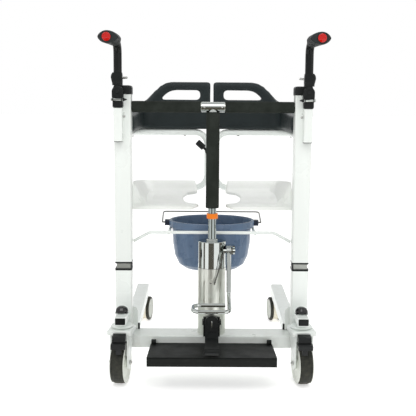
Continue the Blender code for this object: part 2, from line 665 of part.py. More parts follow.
def pad_shape():
    """Right half of the back and armrest pad, with its hand opening."""
    half = PAD_T / 2
    y_back = 0.429
    x_arm = 0.2600
    r = 0.060
    plan = []
    for x in (0.0058, 0.012, 0.035, 0.060, 0.090, 0.120, 0.142, 0.152, 0.162, 0.171, 0.180, 0.190):
        plan.append((x, y_back, (0.0, 1.0)))
    for k in range(9):
        a = math.pi / 2 * (1 - k / 8)
        plan.append((x_arm - r + r * math.cos(a), y_back - r + r * math.sin(a),
                     (math.cos(a), math.sin(a))))
    for y in (0.320, 0.270, 0.200, 0.130, 0.085, 0.0735, 0.0675):
        plan.append((x_arm, y, (1.0, 0.0)))
    sections = []
    run = 0.0
    last = plan[0]
    for p in plan:
        run += math.hypot(p[0] - last[0], p[1] - last[1])
        last = p
        top = along(PAD_PROFILE, run)
        shrink = 0.0035 if p in (plan[0], plan[-1]) else 0.0
        section = []
        w = PAD_T - 2 * shrink
        h = top - PAD_LOW - 2 * shrink
        for u, z in rounded_rect(0, PAD_LOW + shrink + h / 2, w, h, 0.011, 3):
            section.append((p[0] + p[2][0] * u, p[1] + p[2][1] * u, z))
        sections.append(section)
    bm = loft(sections)
    hand = [(0.0490, 0.8425), (0.0405, 0.8500), (0.0405, 0.8690), (0.0490, 0.8765), (0.1260, 0.8765),
            (0.1420, 0.8740), (0.1560, 0.8670), (0.1680, 0.8570), (0.1810, 0.8425)]
    return cut(bm, [prism(hand, "Y", y_back - 0.05, y_back + 0.05)])


def frame_shape():
    """Right swing frame: one closed loop of tube that turns in the column's bearings."""
    path = fillet([(HINGE_X, HINGE_Y, FRAME_LOW_Z), (HINGE_X, HINGE_Y, FRAME_TOP_Z),
                   (HINGE_X, FRAME_BACK_Y, FRAME_TOP_Z), (FRAME_MID_X, FRAME_BACK_Y, FRAME_TOP_Z),
                   (FRAME_MID_X, FRAME_BACK_Y, FRAME_LOW_Z), (HINGE_X, FRAME_BACK_Y, FRAME_LOW_Z)],
                  [0.030, 0.035, 0.070, 0.045, 0.045, 0.070], closed=True, step=math.radians(18))
    bm = sweep(path, TUBE_R, 12, closed=True)
    collar = cylinder("Z", (HINGE_X, HINGE_Y), 0.0145, 0.6775, 0.6840, 20)
    return boolean(bm, [collar])


pivots = {}
for side, sign in SIDES:
    swing = empty(side + "_swing_axis", (sign * HINGE_X, HINGE_Y, 0.60), lift)
    pivots[side] = swing
    node(side + "_swing_frame", sided(frame_shape(), sign), WHITE, swing)
    node(side + "_seat_half", sided(seat_shape(), sign), SEAT_WHITE, swing)
    node(side + "_back_pad", sided(pad_shape(), sign), PAD, swing)

latch = empty("latch_axis", (-FRAME_MID_X, 0.4115, LATCH_Z), pivots["left"])
angle = math.radians(138)
direction = Vector((math.cos(angle), 0, math.sin(angle)))
root = Vector((-FRAME_MID_X, 0.4070, LATCH_Z))
grip_rod = sweep([root + direction * d for d in (0.0175, 0.0190, 0.0470, 0.0490)],
                 [0.0095, 0.0108, 0.0108, 0.0090], 18)
arm = sweep([root + direction * d for d in (0.0, 0.0230)], 0.0045, 12)
boss = cylinder("Y", (-FRAME_MID_X, LATCH_Z), 0.0085, 0.4020, 0.4120, 18)
boss_pin = cylinder("Y", (-FRAME_MID_X, LATCH_Z), 0.0040, 0.4100, 0.4187, 12)
node("latch_lever", boolean(grip_rod, [arm, boss, boss_pin]), BLACK, latch)


# ---------------------------------------------------------------- push handles
def mount_shape():
    """Right clamp collar, neck and lower half of the folding joint."""
    x, y = HANDLE_X, HANDLE_Y
    levels = [(0.8151, 0.0255, 0.0245), (0.8190, 0.0300, 0.0275), (0.8330, 0.0300, 0.0275),
              (0.8345, 0.0280, 0.0255)]
    bm = loft([[(px, py, z) for px, py in rounded_rect(x, -0.0148, w, d, 0.004, 3)]
               for z, w, d in levels])
    neck_rod = cylinder("Z", (x, y), 0.0100, 0.8335, 0.8450, 20)
    saddle = box(x - 0.0140, x + 0.0140, -0.0286, -0.0230, 0.8330, 0.8450)
    lugs = [box(x + d - 0.0014, x + d + 0.0014, -0.0392, -0.0270, 0.8340, 0.8440)
            for d in (-0.0126, 0.0126)]
    saddle_bore = cylinder("X", (-0.0338, 0.8390), 0.0048, x - 0.03, x + 0.03, 14)
    arc = [(x + 0.0168 * math.cos(a), HANDLE_PIVOT_Z + 0.0168 * math.sin(a))
           for a in [math.pi * k / 14 for k in range(15)]]
    body = prism(arc + [(x - 0.0165, 0.8450), (x - 0.0140, 0.8432), (x + 0.0140, 0.8432),
                        (x + 0.0165, 0.8450)], "Y", -0.0282, -0.0032)
    bolt = lathe([(0, -0.0020), (0.0062, -0.0020), (0.0062, 0.0012), (0.0045, 0.0026), (0, 0.0026)],
                 (x, -0.0282, HANDLE_PIVOT_Z), n=16)
    turn = Matrix.Translation((x, -0.0282, HANDLE_PIVOT_Z)) @ Matrix.Rotation(math.pi / 2, 4, "X") \
        @ Matrix.Translation((-x, 0.0282, -HANDLE_PIVOT_Z))
    bolt.transform(turn)
    slot = [(x + 0.0135 * math.cos(a), HANDLE_PIVOT_Z + 0.0135 * math.sin(a))
            for a in [math.pi + math.pi * k / 12 for k in range(13)]]
    slot = prism(slot + [(x + 0.0300, HANDLE_PIVOT_Z), (x + 0.0300, 0.90), (x - 0.0300, 0.90),
                         (x - 0.0300, HANDLE_PIVOT_Z)][0:1]
                 + [(x + 0.0300, 0.90), (x - 0.0135, 0.90)], "Y", -0.0201, -0.0111)
    side_slot = box(x, x + 0.03, -0.0201, -0.0111, HANDLE_PIVOT_Z - 0.0135, 0.90)
    return cut(boolean(bm, [neck_rod, saddle] + lugs + [body, bolt]), [slot, side_slot, saddle_bore])


def handle_path(end):
    """Centre line of the right handle: up, over and towards the pusher."""
    out = math.tan(HANDLE_YAW)
    run = HANDLE_Y - end
    return fillet([(HANDLE_X, HANDLE_Y, 0.9080), (HANDLE_X, HANDLE_Y, GRIP_Z),
                   (HANDLE_X + out * run, end, GRIP_Z)], [0, 0.034, 0], step=math.radians(15))


def handle_shape():
    """Right handle: tongue of the folding joint, knuckle and bent tube."""
    x = HANDLE_X
    bm = sweep(handle_path(GRIP_END + 0.012), 0.0122, 20)
    disc = cylinder("Y", (x, HANDLE_PIVOT_Z), 0.0128, -0.0195, -0.0117, 24)
    tang = box(x - 0.0110, x + 0.0110, -0.0195, -0.0117, HANDLE_PIVOT_Z, 0.8840)
    levels = [(0.8800, 0.0008, 0.0300, 0.0240), (0.8860, 0.0008, 0.0300, 0.0250),
              (0.8930, 0.0016, 0.0322, 0.0252), (0.9030, 0.0028, 0.0342, 0.0252),
              (0.9110, 0.0022, 0.0325, 0.0252), (0.9170, 0.0008, 0.0275, 0.0248)]
    knuckle = loft([[(px, py, z) for px, py in rounded_rect(x + dx, -0.0158, w, d, 0.006, 3)]
                    for z, dx, w, d in levels])
    button = sweep([Vector((x - 0.010, -0.0158, 0.9015)), Vector((x - 0.0270, -0.0158, 0.9025)),
                    Vector((x - 0.0290, -0.0158, 0.9027))], [0.0034, 0.0034, 0.0022], 12)
    return boolean(bm, [knuckle, disc, tang, button])


def eye_section(y, w_in, w_out, h, point):
    """Pointed oval across the grip at depth y."""
    out = math.tan(HANDLE_YAW) * (HANDLE_Y - y)
    pts = []
    for k in range(24):
        a = 2 * math.pi * k / 24
        c, s = math.cos(a), math.sin(a)
        w = w_out if c > 0 else w_in
        lift = abs(s) ** point
        pts.append((HANDLE_X + out + w * c, y, GRIP_Z + math.copysign(h * lift, s)))
    return pts


def grip_shape():
    """Right ergonomic grip with a blind bore for the handle tube."""
    bm = loft([eye_section(*row) for row in (
        (-0.0540, 0.0155, 0.0155, 0.0155, 1.00), (-0.0580, 0.0185, 0.0175, 0.0175, 1.02),
        (-0.0800, 0.0235, 0.0205, 0.0172, 1.10), (-0.1100, 0.0285, 0.0240, 0.0170, 1.22),
        (-0.1400, 0.0310, 0.0255, 0.0174, 1.32), (-0.1600, 0.0310, 0.0255, 0.0176, 1.35),
        (GRIP_END, 0.0285, 0.0230, 0.0158, 1.30))])
    out = math.tan(HANDLE_YAW)
    bore = sweep([Vector((HANDLE_X + out * (HANDLE_Y - y), y, GRIP_Z)) for y in (-0.045, -0.1540)],
                 0.0126, 20)
    return cut(bm, [bore])


def clamp_shape():
    """Right quick-release lever: a short cross rod and its pointed blade."""
    x = HANDLE_X
    rod = cylinder("X", (-0.0338, 0.8390), 0.0045, x - 0.0155, x + 0.0180, 14)
    blade = prism([(-0.0144, -0.0040), (-0.0190, -0.0046), (-0.0280, -0.0012), (-0.0280, 0.0012),
                   (-0.0190, 0.0046), (-0.0144, 0.0040)], "Y", -0.0365, -0.0311)
    blade.transform(Matrix.Translation((x, 0, 0.8390)))
    return boolean(rod, [blade])


for side, sign in SIDES:
    node(side + "_handle_mount", sided(mount_shape(), sign), BLACK, lift)
    hinge = empty(side + "_handle_axis", (sign * HANDLE_X, HANDLE_Y, HANDLE_PIVOT_Z), lift)
    node(side + "_handle_tube", sided(handle_shape(), sign), BLACK, hinge)
    node(side + "_handle_grip", sided(grip_shape(), sign), BLACK, hinge)
    clamp = empty(side + "_clamp_axis", (sign * HANDLE_X, -0.0338, 0.8390), lift)
    node(side + "_clamp_lever", sided(clamp_shape(), sign), CHROME, clamp)

# ---------------------------------------------------------------- commode bucket
slide = empty("bucket_axis", (0.0, BUCKET_Y, 0.43), lift)
R = BUCKET_R
bucket = lathe([(0, 0.2950), (0.064, 0.2950), (0.087, 0.2995), (0.1060, 0.3130), (0.1190, 0.3400),
                (0.1255, 0.3800), (0.1282, 0.4280), (0.1285, 0.4340), (R - 0.0015, 0.4340),
                (R, 0.4360), (R, RIM_Z - 0.0020), (R - 0.0020, RIM_Z), (R - 0.0080, RIM_Z),
                (R - 0.0100, RIM_Z - 0.0060), (0.1255, 0.4300), (0.1226, 0.3800), (0.1160, 0.3410),
                (0.1035, 0.3155), (0.0855, 0.3027), (0.0630, 0.2982), (0, 0.2982)],
               (0, BUCKET_Y, 0), n=40, squash=BUCKET_SQUASH)
lugs = [box(min(s * 0.1365, s * 0.1520), max(s * 0.1365, s * 0.1520), BUCKET_Y - 0.011,
            BUCKET_Y + 0.011, 0.4370, 0.4545) for s in (-1, 1)]
node("bucket", boolean(bucket, lugs), BLUE, slide)

bail_axis = empty("bail_axis", (0.0, BUCKET_Y, BAIL_Z), slide)
bail_path = fillet([(-0.1526, BUCKET_Y, BAIL_Z), (-0.1605, BUCKET_Y, BAIL_Z), (-0.1645, 0.345, 0.460),
                    (0.1645, 0.345, 0.460), (0.1605, BUCKET_Y, BAIL_Z), (0.1526, BUCKET_Y, BAIL_Z)],
                   [0, 0.004, 0.014, 0.014, 0.004, 0], step=math.radians(22))
node("bucket_bail", sweep(bail_path, 0.0024, 8), BRUSHED, bail_axis)


# ---------------------------------------------------------------- castors
def fork_shape(x, y):
    """Near castor fork, drawn straight, with the wheel towards the pusher."""
    wy = y - NEAR_TRAIL
    plate_pts = rounded_rect(x, y - 0.0065, 0.0730, 0.0830, 0.006, 3)
    levels = [(0.1510, 0.0), (0.1620, 0.0), (0.1648, -0.003)]
    bm = loft([[(x + (px - x) * (1 + 2 * g / 0.073), y + (py - y) * (1 + 2 * g / 0.083), z)
                for px, py in plate_pts] for z, g in levels])
    side = [(y + 0.0300, 0.1530), (y - 0.0420, 0.1530)]
    side += [(wy + 0.0200 * math.cos(a), NEAR_R + 0.0200 * math.sin(a))
             for a in [math.pi * (1.05 + 0.9 * k / 8) for k in range(9)]]
    cheeks = [prism(side, "X", min(x + s * 0.0232, x + s * 0.0275), max(x + s * 0.0232,
              x + s * 0.0275)) for s in (-1, 1)]
    holes = [cylinder("X", (wy, NEAR_R), 0.0056, x - 0.04, x + 0.04, 16)]
    return cut(boolean(bm, cheeks), holes)


def tyre_shape(x, y):
    """Near tyre: a rounded rubber ring."""
    prof = [(NEAR_R, -0.0090), (NEAR_R, 0.0090), (0.0612, 0.0145), (0.0588, 0.0180), (0.0560, 0.0185),
            (0.0560, -0.0185), (0.0588, -0.0180), (0.0612, -0.0145)]
    return turned_ring(prof, (x, y, NEAR_R), n=32)


def hub_shape(x, y):
    """Near hub with flanges over the sides of the tyre, and its axle ends."""
    half = [(0.0050, 0.0283), (0.0050, 0.0222), (0.0130, 0.0222), (0.0150, 0.0205), (0.0190, 0.0168),
            (0.0430, 0.0172), (0.0500, 0.0196), (0.0600, 0.0208), (0.0607, 0.0203), (0.0607, 0.0192),
            (0.0557, 0.0190)]
    prof = [(0, 0.0283)] + half + [(r, -h) for r, h in reversed(half)] + [(0, -0.0283)]
    return lathe(prof, (x, y, NEAR_R), axis="X", n=22)


def brake_shape(x, y):
    """Near brake pedal: an upper block and a wider treadle."""
    upper = prism([(y - 0.0520, 0.1440), (y - 0.0520, 0.1580), (y - 0.0560, 0.1600),
                   (y - 0.0740, 0.1540), (y - 0.0790, 0.1400), (y - 0.0600, 0.1370)],
                  "X", x - 0.0190, x + 0.0190)
    tread = prism([(y - 0.0700, 0.1240), (y - 0.0700, 0.1390), (y - 0.0930, 0.1380),
                   (y - 0.0980, 0.1350), (y - 0.0980, 0.1240), (y - 0.0930, 0.1220)],
                  "X", x - 0.0212, x + 0.0212)
    shoe = prism([(y - 0.0720, 0.1260), (y - 0.0880, 0.1260), (y - 0.0810, 0.1030),
                  (y - 0.0760, 0.1030)], "X", x - 0.0080, x + 0.0080)
    return boolean(upper, [tread, shoe])


def far_hood_shape(x, y):
    """Far castor body between its twin wheels, with the swivel stem."""
    wy = y + FAR_TRAIL
    bm = cylinder("X", (wy, FAR_R), 0.0400, x - 0.0108, x + 0.0108, 28)
    crown = prism([(y - 0.016, 0.0600), (y - 0.016, 0.0880), (y - 0.010, 0.0935), (wy + 0.002, 0.0935),
                   (wy + 0.026, 0.0850), (wy + 0.026, 0.0600)], "X", x - 0.0108, x + 0.0108)
    collar = cylinder("Z", (x, y), 0.0155, 0.0860, 0.0945, 20)
    stem = cylinder("Z", (x, y), 0.0060, 0.0900, 0.1180, 16)
    bm = boolean(bm, [crown, collar, stem])
    return cut(bm, [cylinder("X", (wy, FAR_R), 0.0048, x - 0.03, x + 0.03, 16)])


def far_wheels_shape(x, y):
    """Far twin wheels on their shaft."""
    half = [(0.0130, 0.0225), (0.0160, 0.0215), (0.0340, 0.0215), (0.0370, 0.0228), (0.0430, 0.0222),
            (FAR_R, 0.0195), (FAR_R, 0.0138), (0.0430, 0.0114), (0.0043, 0.0114)]
    prof = [(0, 0.0225)] + half + [(r, -h) for r, h in reversed(half)] + [(0, -0.0225)]
    return lathe(prof, (x, y, FAR_R), axis="X", n=24)


for side, sign in SIDES:
    x = sign * COL_X
    turn = empty("near_" + side + "_swivel", (x, SWIVEL_Y, 0.165), chair, yaw=-sign * -NEAR_YAW)
    node("near_" + side + "_fork", fork_shape(x, SWIVEL_Y), WHITE, turn)
    yaw = turn["yaw"]
    wheel_at = (x + math.sin(yaw) * NEAR_TRAIL, SWIVEL_Y - math.cos(yaw) * NEAR_TRAIL, NEAR_R)
    axle = empty("near_" + side + "_axle", wheel_at, turn)
    brake_at = (x + math.sin(yaw) * 0.0140, SWIVEL_Y - math.cos(yaw) * 0.0510, 0.1500)
    pedal = empty("near_" + side + "_brake_axis", brake_at, turn, yaw=-yaw * 0.8)
    node("near_" + side + "_tyre", tyre_shape(wheel_at[0], wheel_at[1]), RUBBER, axle)
    node("near_" + side + "_hub", hub_shape(wheel_at[0], wheel_at[1]), WHITE, axle)
    shift = Vector(brake_at) - Vector((x, SWIVEL_Y - 0.0510, 0.1500))
    brake = brake_shape(x, SWIVEL_Y)
    brake.transform(Matrix.Translation(shift))
    node("near_" + side + "_brake", brake, BLACK, pedal)

for k, (side, sign) in enumerate(SIDES):
    x = sign * FAR_X
    turn = empty("far_" + side + "_swivel", (x, FAR_Y, 0.094), chair, yaw=sign * FAR_YAW[k])
    node("far_" + side + "_hood", far_hood_shape(x, FAR_Y), BEIGE, turn)
    yaw = turn["yaw"]
    wheel_at = (x - math.sin(yaw) * FAR_TRAIL, FAR_Y + math.cos(yaw) * FAR_TRAIL, FAR_R)
    axle = empty("far_" + side + "_axle", wheel_at, turn)
    node("far_" + side + "_wheels", far_wheels_shape(wheel_at[0], wheel_at[1]), RUBBER, axle)

bpy.context.view_layer.update()
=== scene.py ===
"""Patient transfer chair: its materials, soft foam pieces and small fittings.

Lengths are in metres. +X is to the right of the pusher, who stands on the -Y side, and the floor
is at Z = 0. The places along Y are mostly given from the front face of the columns.
"""
import math

import bmesh
import bpy
from mathutils import Matrix, Vector, noise


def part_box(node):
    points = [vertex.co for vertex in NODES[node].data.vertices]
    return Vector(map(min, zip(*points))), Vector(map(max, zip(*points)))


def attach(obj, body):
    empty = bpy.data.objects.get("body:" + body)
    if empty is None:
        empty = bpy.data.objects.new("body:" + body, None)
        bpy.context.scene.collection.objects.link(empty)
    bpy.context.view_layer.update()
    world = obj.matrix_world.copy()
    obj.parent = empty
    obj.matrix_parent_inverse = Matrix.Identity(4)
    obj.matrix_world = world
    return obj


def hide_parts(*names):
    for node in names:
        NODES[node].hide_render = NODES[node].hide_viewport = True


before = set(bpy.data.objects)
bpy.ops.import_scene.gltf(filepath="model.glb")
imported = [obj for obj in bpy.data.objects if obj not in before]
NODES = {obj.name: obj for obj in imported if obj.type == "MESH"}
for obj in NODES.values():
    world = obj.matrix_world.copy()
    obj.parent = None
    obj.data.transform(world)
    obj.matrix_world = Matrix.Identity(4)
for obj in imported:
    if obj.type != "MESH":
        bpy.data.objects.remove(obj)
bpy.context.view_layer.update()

SIDES = (("left", -1), ("right", 1))


def centre(node):
    """Middle of a CAD node's box."""
    low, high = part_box(node)
    return (low + high) / 2


# ---------------------------------------------------------------- driving sizes, from the frame
CAP_OVERHANG = 0.002                                 # column cap beyond the column on each side
Y0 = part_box("left_column_cap")[0].y + CAP_OVERHANG   # front face of the columns
COL_X = abs(centre("left_column_cap").x)             # middle of a column
MID_Y = centre("left_column_cap").y - Y0             # plane of the columns and the jack
HANDLE_X = abs(centre("left_handle_mount").x)
HANDLE_OUT = math.tan(math.radians(5.3))             # grips lean outwards
GRIP_Z = centre("left_handle_grip").z
STUB_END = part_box("left_lower_column")[0].y - Y0     # front end of the castor stubs
RAIL_IN = abs(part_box("left_side_rail")[1].x)         # inner end of the side rails
SWIVEL_Y = -0.052                                    # near castor swivel axis
NEAR_YAW = math.radians(6.7)                         # near castors turned a little outwards
NEAR_TRAIL = 0.022                                   # swivel axis to near axle
NEAR_WHEEL_R = centre("near_left_tyre").z


def at(x, y, z):
    """A point with its y given from the front face of the columns."""
    return (x, Y0 + y, z)


# ---------------------------------------------------------------- materials
def srgb(r, g, b):
    """Linear colour of an 8-bit display colour."""
    out = []
    for c in (r, g, b):
        c /= 255.0
        out.append(c / 12.92 if c <= 0.04045 else ((c + 0.055) / 1.055) ** 2.4)
    return (*out, 1.0)


class Mat:
    """A node material built up in short steps."""

    def __init__(self, name):
        self.mat = bpy.data.materials.new(name)
        self.mat.use_nodes = True
        self.tree = self.mat.node_tree
        self.bsdf = self.tree.nodes["Principled BSDF"]
        self.coord = self.tree.nodes.new("ShaderNodeTexCoord").outputs["Object"]
        self.height = None

    def node(self, kind, **inputs):
        """A new node with plain values on its inputs."""
        n = self.tree.nodes.new(kind)
        for key, value in inputs.items():
            n.inputs[key.replace("_", " ")].default_value = value
        return n

    def link(self, a, b):
        self.tree.links.new(a, b)

    def noise(self, scale, detail=4.0, roughness=0.55, stretch=None):
        """Cloudy pattern; stretch scales it on each axis, small where its streaks are long."""
        n = self.node("ShaderNodeTexNoise", Scale=scale, Detail=detail, Roughness=roughness)
        if stretch is None:
            self.link(self.coord, n.inputs["Vector"])
        else:
            m = self.node("ShaderNodeMapping")
            m.inputs["Scale"].default_value = stretch
            self.link(self.coord, m.inputs["Vector"])
            self.link(m.outputs["Vector"], n.inputs["Vector"])
        return n.outputs["Fac"]

    def voronoi(self, scale, feature="F1"):
        """Distance pattern of small cells."""
        n = self.node("ShaderNodeTexVoronoi", Scale=scale)
        n.feature = feature
        self.link(self.coord, n.inputs["Vector"])
        return n.outputs["Distance"]

    def remap(self, value, low, high, to_low=0.0, to_high=1.0):
        """A value's range low to high, stretched to another range and clamped."""
        n = self.tree.nodes.new("ShaderNodeMapRange")
        n.inputs["From Min"].default_value = low
        n.inputs["From Max"].default_value = high
        n.inputs["To Min"].default_value = to_low
        n.inputs["To Max"].default_value = to_high
        self.link(value, n.inputs["Value"])
        return n.outputs["Result"]

    def mix(self, factor, a, b):
        """Colour a where the factor is 0, b where it is 1."""
        n = self.tree.nodes.new("ShaderNodeMix")
        n.data_type = "RGBA"
        self.feed(n.inputs["Factor"], factor)
        self.feed(n.inputs["A"], a)
        self.feed(n.inputs["B"], b)
        return n.outputs["Result"]

    def maths(self, kind, a, b):
        n = self.tree.nodes.new("ShaderNodeMath")
        n.operation = kind
        self.feed(n.inputs[0], a)
        self.feed(n.inputs[1], b)
        return n.outputs[0]

    def feed(self, socket, value):
        """Links a node's output to a socket, or sets a plain value on it."""
        if isinstance(value, bpy.types.NodeSocket):
            self.link(value, socket)
        else:
            socket.default_value = value

    def edge(self, low=0.52, high=0.60):
        """1 on convex edges, from the shape of the mesh."""
        g = self.tree.nodes.new("ShaderNodeNewGeometry")
        return self.remap(g.outputs["Pointiness"], low, high)

    def low_dirt(self, top):
        """1 at the floor, fading to 0 at the given height."""
        s = self.tree.nodes.new("ShaderNodeSeparateXYZ")
        self.link(self.coord, s.inputs["Vector"])
        return self.remap(s.outputs["Z"], 0.0, top, 1.0, 0.0)

    def bump(self, value, strength, distance):
        """Adds a fine relief on top of those added before."""
        n = self.node("ShaderNodeBump", Strength=strength, Distance=distance)
        self.link(value, n.inputs["Height"])
        if self.height is not None:
            self.link(self.height, n.inputs["Normal"])
        self.height = n.outputs["Normal"]
        self.link(self.height, self.bsdf.inputs["Normal"])

    def set(self, **values):
        """Sets or links inputs of the shader, with _ for a space in their names."""
        for key, value in values.items():
            self.feed(self.bsdf.inputs[key.replace("_", " ")], value)


def scaled(colour, factor, lift=0.0):
    """A lighter or darker version of a linear colour."""
    return tuple(min(1.0, v * factor + lift) for v in colour[:3]) + (1.0,)


def powder_coat(name, colour):
    """Satin powder coat with orange peel, handling marks and greyed low parts."""
    m = Mat(name)
    blotch = m.remap(m.noise(9.0, 5.0), 0.35, 0.75)
    scuff = m.remap(m.noise(60.0, 6.0, 0.65, (1.0, 1.0, 0.18)), 0.60, 0.78)
    c = m.mix(m.maths("MULTIPLY", blotch, 0.22), colour, scaled(colour, 0.93))
    c = m.mix(m.maths("MULTIPLY", scuff, 0.22), c, srgb(196, 198, 190))
    dirt = m.maths("MULTIPLY", m.low_dirt(0.20), m.remap(m.noise(45.0, 5.0), 0.45, 0.75))
    c = m.mix(m.maths("MULTIPLY", dirt, 0.45), c, srgb(176, 172, 158))
    c = m.mix(m.maths("MULTIPLY", m.edge(0.54, 0.66), 0.35), c, srgb(206, 208, 202))
    m.set(Base_Color=c, Roughness=m.remap(blotch, 0.0, 1.0, 0.26, 0.42),
          Coat_Weight=0.25, Coat_Roughness=0.2)
    m.bump(m.noise(900.0, 2.0), 0.10, 0.0004)
    m.bump(scuff, 0.06, 0.0003)
    return m.mat


def plastic(name, colour, rough, grain=1400.0, grain_depth=0.12, wear=(0.30, None),
            shine=0.5, dusty=0.10):
    """Moulded plastic with a fine spark-eroded grain and paler worn edges.

    rough is its smoothest and roughest, wear how much of the edges is worn and to what colour.
    """
    m = Mat(name)
    blotch = m.remap(m.noise(22.0, 5.0), 0.35, 0.75)
    dust = m.remap(m.noise(140.0, 5.0, 0.7), 0.55, 0.80)
    c = m.mix(m.maths("MULTIPLY", blotch, 0.45), colour, scaled(colour, 1.35, 0.006))
    worn_share, worn_colour = wear
    c = m.mix(m.maths("MULTIPLY", m.edge(), worn_share), c,
              worn_colour or scaled(colour, 1.9, 0.02))
    c = m.mix(m.maths("MULTIPLY", dust, dusty), c, srgb(150, 148, 138))
    m.set(Base_Color=c, Roughness=m.remap(blotch, 0.0, 1.0, *rough), Specular_IOR_Level=shine)
    m.bump(m.voronoi(grain), grain_depth, 0.0004)
    return m.mat


def foam(name, colour):
    """Closed-cell foam: soft, pitted, with dusty high spots and painted shade in its pits."""
    m = Mat(name)
    cells = m.voronoi(520.0)
    blotch = m.remap(m.noise(26.0, 6.0), 0.35, 0.75)
    c = m.mix(m.maths("MULTIPLY", blotch, 0.55), colour, scaled(colour, 1.7, 0.01))
    # The pits are painted darker: painted shade inside the foam's cells.
    c = m.mix(m.remap(cells, 0.0, 0.5, 0.5, 0.0), c, scaled(colour, 0.45))
    m.set(Base_Color=c, Roughness=0.88, Specular_IOR_Level=0.12)
    m.bump(cells, 0.55, 0.0007)
    m.bump(blotch, 0.25, 0.0012)
    return m.mat


def pu_skin(name, colour):
    """Self-skinned polyurethane: leathery grain with a slight sheen, and a painted highlight along
    its edges.
    """
    m = Mat(name)
    grain = m.voronoi(430.0, "DISTANCE_TO_EDGE")
    blotch = m.remap(m.noise(14.0, 6.0), 0.30, 0.75)
    c = m.mix(m.maths("MULTIPLY", blotch, 0.5), colour, scaled(colour, 1.5, 0.004))
    # Convex edges are painted paler: a painted highlight along the pad's edges.
    c = m.mix(m.maths("MULTIPLY", m.edge(0.51, 0.58), 0.25), c, srgb(104, 112, 116))
    m.set(Base_Color=c, Roughness=m.remap(blotch, 0.0, 1.0, 0.40, 0.58),
          Specular_IOR_Level=0.25)
    m.bump(m.remap(grain, 0.0, 0.12), 0.35, 0.0005)
    m.bump(m.noise(60.0, 4.0), 0.15, 0.0015)
    return m.mat


def metal(name, colour, rough, brush=None, spots=0.25):
    """Plated or brushed metal with smears, fine scratches and a few dull spots.

    rough is its smoothest and roughest. brush scales the scratches of a brushed one on each axis,
    and is smallest along them.
    """
    m = Mat(name)
    smear = m.remap(m.noise(30.0, 5.0), 0.35, 0.70)
    scratch = m.noise(260.0, 6.0, 0.7, brush or (1.0, 1.0, 0.05))
    spot = m.remap(m.noise(170.0, 3.0), 0.66, 0.76)
    c = m.mix(m.maths("MULTIPLY", smear, 0.35), colour, scaled(colour, 0.80))
    c = m.mix(m.maths("MULTIPLY", spot, spots), c, srgb(120, 112, 96))
    r = m.maths("ADD", m.remap(smear, 0.0, 1.0, *rough), m.maths("MULTIPLY", spot, 0.25))
    m.set(Base_Color=c, Metallic=1.0, Roughness=r)
    m.bump(scratch, 0.10 if brush else 0.04, 0.0003)
    if brush:
        m.set(Anisotropic=0.5)
    return m.mat


def rubber(name, colour):
    """Tyre rubber with a dusty, scuffed tread."""
    m = Mat(name)
    dust = m.remap(m.noise(80.0, 6.0, 0.7), 0.42, 0.72)
    c = m.mix(m.maths("MULTIPLY", dust, 0.30), colour, srgb(96, 94, 82))
    c = m.mix(m.maths("MULTIPLY", m.low_dirt(0.02), 0.30), c, srgb(120, 115, 100))
    m.set(Base_Color=c, Roughness=m.remap(dust, 0.0, 1.0, 0.50, 0.75), Specular_IOR_Level=0.25)
    m.bump(m.noise(600.0, 4.0), 0.30, 0.0006)
    return m.mat


def lens(name, colour):
    """Prismatic reflector under a clear skin."""
    m = Mat(name)
    prisms = m.voronoi(560.0, "DISTANCE_TO_EDGE")
    c = m.mix(m.remap(prisms, 0.0, 0.10), srgb(120, 8, 4), colour)
    m.set(Base_Color=c, Roughness=0.12, Coat_Weight=0.4, Coat_Roughness=0.03,
          Specular_IOR_Level=0.3)
    m.bump(prisms, 0.15, 0.0006)
    return m.mat


WHITE = powder_coat("white_powder_coat", srgb(237, 242, 238))
SEAT = plastic("white_seat_plastic", srgb(240, 243, 238), (0.30, 0.42), 900.0, 0.06,
               (0.15, srgb(214, 216, 208)))
HUB = plastic("hub_plastic", srgb(216, 219, 210), (0.32, 0.45), 1100.0, 0.08,
              (0.2, srgb(190, 190, 178)))
BLACK = plastic("black_plastic", srgb(15, 18, 18), (0.30, 0.46), shine=0.24, dusty=0.04)
GLOSS = plastic("black_gloss_paint", srgb(10, 13, 13), (0.12, 0.24), 700.0, 0.05, shine=0.26,
                dusty=0.03)
DOME = plastic("black_gloss_dome", srgb(9, 10, 11), (0.03, 0.07), 700.0, 0.015, shine=0.6,
               dusty=0.01)
GRIP = plastic("black_grip_rubber", srgb(27, 31, 32), (0.50, 0.66), 1500.0, 0.30, shine=0.25,
               dusty=0.06)
PLATE = plastic("footplate_plastic", srgb(14, 17, 15), (0.44, 0.60), 1200.0, 0.20, shine=0.12,
                dusty=0.06)
FOAM = foam("black_foam", srgb(36, 40, 36))
PU = pu_skin("grey_pu_skin", srgb(28, 36, 37))
CHROME = metal("chrome", (0.56, 0.59, 0.57, 1), (0.05, 0.12))
ROD = metal("hard_chrome_rod", (0.34, 0.38, 0.37, 1), (0.06, 0.14))
STEEL = metal("brushed_steel", (0.78, 0.80, 0.74, 1), (0.30, 0.42), (0.05, 0.05, 1.0), 0.05)
SATIN = metal("satin_post", (0.50, 0.52, 0.49, 1), (0.35, 0.50), (1.0, 1.0, 0.04))
DARK_STEEL = metal("dark_steel_wire", (0.16, 0.16, 0.15, 1), (0.25, 0.40))
ORANGE = plastic("orange_plastic", srgb(226, 110, 0), (0.28, 0.40), 900.0, 0.08,
                 (0.2, srgb(240, 148, 50)), shine=0.3, dusty=0.04)
BLUE = plastic("blue_bucket_plastic", srgb(86, 106, 132), (0.24, 0.36), 800.0, 0.06,
               (0.30, srgb(126, 146, 172)), shine=0.35, dusty=0.03)
TYRE = rubber("grey_tyre_rubber", srgb(38, 40, 34))
DISC = plastic("grey_disc_plastic", srgb(184, 187, 178), (0.36, 0.5), 900.0, 0.08)
BEIGE = plastic("beige_hood_plastic", srgb(222, 216, 198), (0.40, 0.52), 1000.0, 0.08,
                (0.2, srgb(198, 192, 172)))
RED = lens("red_reflector", srgb(196, 16, 8))
ZINC = metal("zinc_fixings", (0.66, 0.66, 0.64, 1), (0.20, 0.32))
